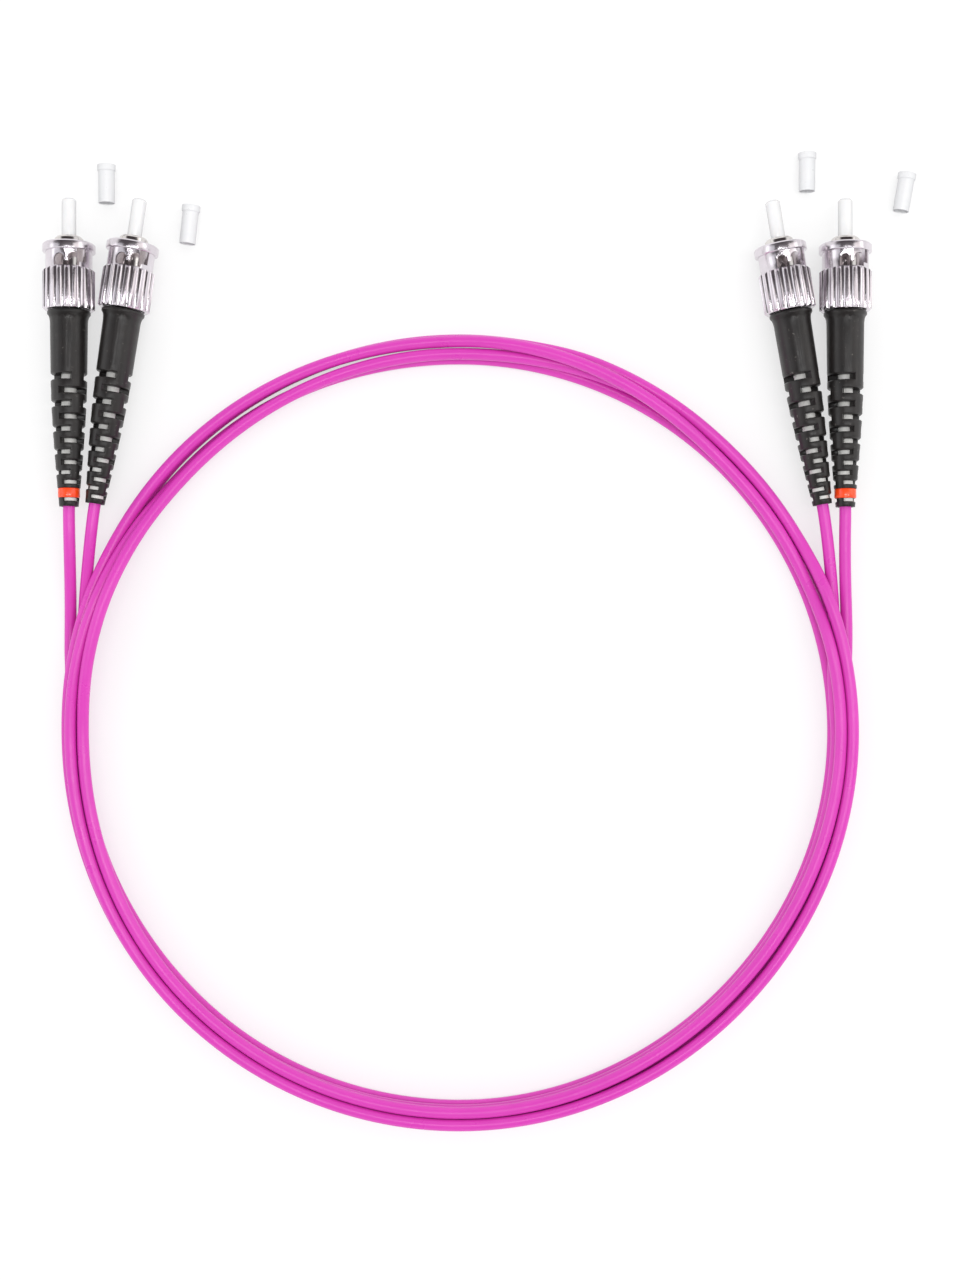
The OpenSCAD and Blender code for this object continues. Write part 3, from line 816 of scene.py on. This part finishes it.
# %% Room
world = bpy.data.worlds.new("room")
scene.world = world
world.use_nodes = True
tree = world.node_tree
tree.nodes.clear()
direction = tree.nodes.new("ShaderNodeTexCoord")
parts = tree.nodes.new("ShaderNodeSeparateXYZ")
ceiling = tree.nodes.new("ShaderNodeValToRGB")
ceiling.color_ramp.elements[0].position = 0.42
ceiling.color_ramp.elements[0].color = (1, 1, 1, 1)
ceiling.color_ramp.elements[1].position = 0.62
ceiling.color_ramp.elements[1].color = (0.06, 0.05, 0.055, 1)
mirrored = tree.nodes.new("ShaderNodeMix")
mirrored.data_type = "RGBA"
mirrored.inputs["A"].default_value = (1, 1, 1, 1)
path = tree.nodes.new("ShaderNodeLightPath")
light = tree.nodes.new("ShaderNodeBackground")
light.inputs["Strength"].default_value = 0.95
sky = tree.nodes.new("ShaderNodeOutputWorld")
tree.links.new(direction.outputs["Generated"], parts.inputs["Vector"])
tree.links.new(parts.outputs["Z"], ceiling.inputs["Fac"])
tree.links.new(path.outputs["Is Glossy Ray"], mirrored.inputs["Factor"])
tree.links.new(ceiling.outputs["Color"], mirrored.inputs["B"])
tree.links.new(mirrored.outputs["Result"], light.inputs["Color"])
tree.links.new(light.outputs[0], sky.inputs["Surface"])


# %% Lamps
def lamp(name, place, aim, width, length, power, colour=(1, 1, 1)):
    data = bpy.data.lights.new(name, "AREA")
    data.shape = "RECTANGLE"
    data.size, data.size_y = width, length
    data.energy = power
    data.color = colour
    one = bpy.data.objects.new(name, data)
    one.location = place
    one.rotation_euler = (Vector(aim) - Vector(place)).to_track_quat("-Z", "Y").to_euler()
    scene.collection.objects.link(one)


lamp("strip", (0.16, 0.0, 1.0), (0.02, 0.0, 0), 0.05, 0.9, 2.4)
lamp("right window", (0.9, 0.25, 0.75), (0, 0, 0), 0.5, 0.9, 1.6, (1, 0.97, 0.94))
lamp("left window", (-0.95, 0.1, 0.7), (0, 0, 0), 0.5, 0.9, 1.1, (0.95, 0.97, 1))

# %% [markdown]
# ## The last update
# The scene is updated once more, so that every piece stands where it was put.

# %% Update the scene
bpy.context.view_layer.update()
